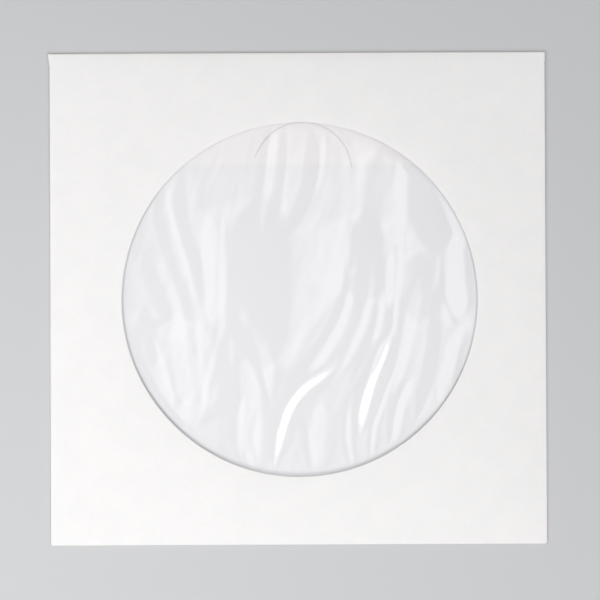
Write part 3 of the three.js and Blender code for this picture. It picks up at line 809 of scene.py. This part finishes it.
def cut_paper_edge():
    """Where the paper was die-cut: open fibres, a little darker than its face."""
    material, bench = finish_material("cut_paper_edge")
    where = bench.node("ShaderNodeTexCoord")["Object"]
    fibres = bench.noise(where, CUT_FIBRES, 4.0, 0.7)
    colour = bench.mixed_colour(fibres.over(0.35, 0.7), CUT_PAPER, DULL_PAPER)
    normal = bench.relief(0.6, PAPER_RELIEF, fibres)
    show(bench, bench.matte(colour, 0.85 + fibres * 0.1, 0.2, Normal=normal))
    return material


def clear_film():
    """Thin clear film: it mirrors a little at each face, and more at a slant."""
    material, bench = finish_material("clear_film")
    where = bench.node("ShaderNodeTexCoord")["Object"]
    stretch = bench.noise(where, FILM_STRETCH, 3.0, 0.5)
    smear = bench.noise(where, FILM_SMEAR, 4.0, 0.6)
    slant = bench.node("ShaderNodeLayerWeight", None, {"Blend": 0.5})["Facing"]
    mirrored = slant ** 5.0 * 0.9 + (0.036 + smear * 0.008)
    gloss = bench.node("ShaderNodeBsdfAnisotropic", None, {
        "Color": (1, 1, 1, 1),
        "Roughness": 0.025 + smear * 0.03,
        "Normal": bench.relief(0.25, FILM_RELIEF, stretch + smear * 0.3),
    })["BSDF"]
    through = bench.node("ShaderNodeBsdfTransparent", None, {"Color": (*FILM_TINT, 1)})["BSDF"]
    surface = bench.node("ShaderNodeMixShader", None, {0: mirrored, 1: through, 2: gloss})["Shader"]
    show(bench, surface)
    return material


def pale_floor():
    material, bench = finish_material("pale_floor")
    where = bench.node("ShaderNodeTexCoord")["Object"]
    tone = bench.noise(where, FLOOR_CLOUDS, 2.0)
    colour = bench.mixed_colour(tone, DIM_FLOOR, PALE_FLOOR)
    show(bench, bench.matte(colour, 0.8 + tone * 0.1, 0.2))
    return material


# ---- Geometry Nodes: fine wrinkles and the film's thickness ----

FILM_INPUTS = {
    "Fine Wrinkle Height": 0.05 * MM,
    "Fine Wrinkle Spacing": 260.0,
    "Stretch Along": 0.28,
    "Pull Angle": math.radians(17),
    "Film Thickness": FILM * MM,
    "Seed": 4.0,
}
MERGE_DISTANCE = 0.002


def film_tree(material):
    """Adds wrinkles drawn out the way the film was pulled, and gives it its thickness."""
    tree = bpy.data.node_groups.new("wrinkled_film", "GeometryNodeTree")
    tree.interface.new_socket(name="Geometry", in_out="INPUT", socket_type="NodeSocketGeometry")
    sockets = {}
    for name in FILM_INPUTS:
        socket = tree.interface.new_socket(name=name, in_out="INPUT", socket_type="NodeSocketFloat")
        sockets[name] = socket.identifier
    tree.interface.new_socket(name="Geometry", in_out="OUTPUT", socket_type="NodeSocketGeometry")
    bench = Bench(tree)
    given = bench.node("NodeGroupInput")

    place = bench.node("GeometryNodeInputPosition")["Position"]
    turned = bench.node("ShaderNodeVectorRotate", {"rotation_type": "Z_AXIS"}, {
        "Vector": place,
        "Angle": given["Pull Angle"],
    })["Vector"]
    parts = bench.node("ShaderNodeSeparateXYZ", None, {"Vector": turned})
    drawn = bench.node("ShaderNodeCombineXYZ", None, {
        "X": parts["X"],
        "Y": parts["Y"] * given["Stretch Along"],
    })["Vector"]
    noise = bench.node("ShaderNodeTexNoise", {"noise_dimensions": "4D"}, {
        "Vector": drawn,
        "W": given["Seed"],
        "Scale": given["Fine Wrinkle Spacing"],
        "Detail": 1.5,
        "Roughness": 0.45,
        "Distortion": 0.2,
    })["Fac"]
    named = bench.node("GeometryNodeInputNamedAttribute", {"data_type": "FLOAT"}, {"Name": "slack"})
    height = (noise - 0.5) * named["Attribute"] * given["Fine Wrinkle Height"] * 2.0
    rise = bench.node("ShaderNodeCombineXYZ", None, {"Z": height})["Vector"]
    wrinkled = bench.node("GeometryNodeSetPosition", None, {
        "Geometry": given["Geometry"],
        "Offset": rise,
    })["Geometry"]

    thickness = given["Film Thickness"]
    normal = bench.node("GeometryNodeInputNormal")["Normal"]
    half = bench.node("ShaderNodeVectorMath", {"operation": "SCALE"}, {
        0: normal,
        "Scale": thickness * -0.5,
    })["Vector"]
    lower = bench.node("GeometryNodeSetPosition", None, {"Geometry": wrinkled, "Offset": half})["Geometry"]
    raised = bench.node("GeometryNodeExtrudeMesh", {"mode": "FACES"}, {
        "Mesh": lower,
        "Offset Scale": thickness,
        "Individual": False,
    })["Mesh"]
    under = bench.node("GeometryNodeFlipFaces", None, {"Mesh": lower})["Mesh"]
    join = tree.nodes.new("GeometryNodeJoinGeometry")
    tree.links.new(raised.socket, join.inputs[0])
    tree.links.new(under.socket, join.inputs[0])
    closed = bench.node("GeometryNodeMergeByDistance", None, {
        "Geometry": Wire(bench, join.outputs[0]),
        "Distance": MERGE_DISTANCE * MM,
    })["Geometry"]
    smooth = bench.node("GeometryNodeSetShadeSmooth", None, {"Geometry": closed})["Geometry"]
    real = bench.node("GeometryNodeRealizeInstances", None, {"Geometry": smooth})["Geometry"]
    dressed = bench.node("GeometryNodeSetMaterial", None, {
        "Geometry": real,
        "Material": material,
    })["Geometry"]
    bench.node("NodeGroupOutput", None, {"Geometry": dressed})
    return tree, sockets


def window_film():
    """The film with its creases, fine wrinkles and thickness, as one plain mesh."""
    sheet = film_middle()
    piece = mesh_object("clear_window_film", sheet.points, sheet.faces)
    slack = piece.data.attributes.new("slack", "FLOAT", "POINT")
    x, y, _ = np.array(sheet.points).T
    slack.data.foreach_set("value", film_slack(x, y))
    material = clear_film()
    tree, sockets = film_tree(material)
    modifier = piece.modifiers.new("wrinkled_film", "NODES")
    modifier.node_group = tree
    for name, value in FILM_INPUTS.items():
        modifier[sockets[name]] = value
    settle(piece)
    return piece


def settle(piece):
    """Turns the piece and its modifiers into one plain mesh."""
    shown = piece.evaluated_get(bpy.context.evaluated_depsgraph_get())
    mesh = bpy.data.meshes.new_from_object(shown)
    piece.modifiers.clear()
    piece.data = mesh


# ---- Stage ----

FLOOR_HALF_SIZE = 2.5
FLOOR_DROP = 0.00003

# Soft lamps round the sleeve: azimuth and angle from straight up, in degrees; distance, width
# and height, in metres; and radiance.
SOFT_LAMPS = {
    "key_below": (262, 45, 0.6, 0.2, 0.2, 8.5),
    "left_lamp": (192, 40, 0.32, 0.1, 0.1, 8.8),
    "right_lamp": (-28, 22.8, 0.9, 0.4, 0.26, 3.8),
    "back_lamp": (72, 58, 0.7, 1.3, 0.12, 0.9),
}

# A level panel overhead, in strips that grow brighter to the right, so that the tone of the
# film follows its slope. The strips' edges are shares of the panel's height.
CEILING_HEIGHT = 2.0
CEILING_LENGTH = 1.2
CEILING_TURN = math.radians(-10)
CEILING_EDGES = (-0.075, -0.045, -0.015, 0.015, 0.045, 0.075, 0.6)
CEILING_DIMMEST = 0.14
CEILING_STEP = 0.24
ROOM_COLOUR = (0.219, 0.219, 0.22, 1)


def floor():
    """The pale surface, a hair below the sleeve."""
    half, low = FLOOR_HALF_SIZE, -FLOOR_DROP
    mesh = bpy.data.meshes.new("floor")
    corners = [(-half, -half, low), (half, -half, low), (half, half, low), (-half, half, low)]
    mesh.from_pydata(corners, [], [(0, 1, 2, 3)])
    mesh.materials.append(pale_floor())
    piece = bpy.data.objects.new("floor", mesh)
    bpy.context.scene.collection.objects.link(piece)


def area_lamp(name, width, height, radiance):
    """A rectangular lamp that the camera doesn't see. Its radiance is what a mirror shows of it."""
    data = bpy.data.lights.new(name, "AREA")
    data.shape = "RECTANGLE"
    data.size, data.size_y = width, height
    data.energy = radiance * math.pi * width * height
    lamp = bpy.data.objects.new(name, data)
    lamp.visible_camera = False
    bpy.context.scene.collection.objects.link(lamp)
    return lamp


def soft_lamp(name, azimuth, from_zenith, distance, width, height, radiance):
    """A lamp that faces the sleeve."""
    lamp = area_lamp(name, width, height, radiance)
    around, down = math.radians(azimuth), math.radians(from_zenith)
    toward = Vector((math.cos(around) * math.sin(down), math.sin(around) * math.sin(down), math.cos(down)))
    lamp.location = toward * distance
    lamp.rotation_euler = toward.to_track_quat("Z", "Y").to_euler()


def ceiling_strip(name, near, far, radiance):
    """One strip of the panel overhead, facing down."""
    lamp = area_lamp(name, (far - near) * CEILING_HEIGHT, CEILING_LENGTH * CEILING_HEIGHT, radiance)
    across = (far + near) / 2 * CEILING_HEIGHT
    lamp.location = (across * math.cos(CEILING_TURN), across * math.sin(CEILING_TURN), CEILING_HEIGHT)
    lamp.rotation_euler = (0, 0, CEILING_TURN)


def studio_light():
    for name, numbers in SOFT_LAMPS.items():
        soft_lamp(name, *numbers)
    for k, (near, far) in enumerate(zip(CEILING_EDGES, CEILING_EDGES[1:])):
        ceiling_strip("ceiling_strip_%d" % k, near, far, CEILING_DIMMEST + CEILING_STEP * k)
    world = bpy.data.worlds.new("studio")
    bpy.context.scene.world = world
    world.use_nodes = True
    background = world.node_tree.nodes["Background"]
    background.inputs["Color"].default_value = ROOM_COLOUR
    background.inputs["Strength"].default_value = 1.0


def photo_camera():
    data = bpy.data.cameras.new("photo_camera")
    data.lens, data.sensor_width = LENS, SENSOR
    camera = bpy.data.objects.new("photo_camera", data)
    turn = Euler((CAMERA_TILT, 0, CAMERA_TURN))
    distance = FRAMED_WIDTH * LENS / SENSOR
    back = Vector((0, 0, 1))
    back.rotate(turn)
    camera.location = (LOOK_AT + back * distance) * MM
    camera.rotation_euler = turn
    bpy.context.scene.collection.objects.link(camera)
    bpy.context.scene.camera = camera


photo_camera()
studio_light()
floor()

paper = folded_paper()
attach(paper, "root")
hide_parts("paper_sleeve")

film = window_film()
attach(film, "root")
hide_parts("window_film")

bpy.context.scene.view_settings.view_transform = "Standard"
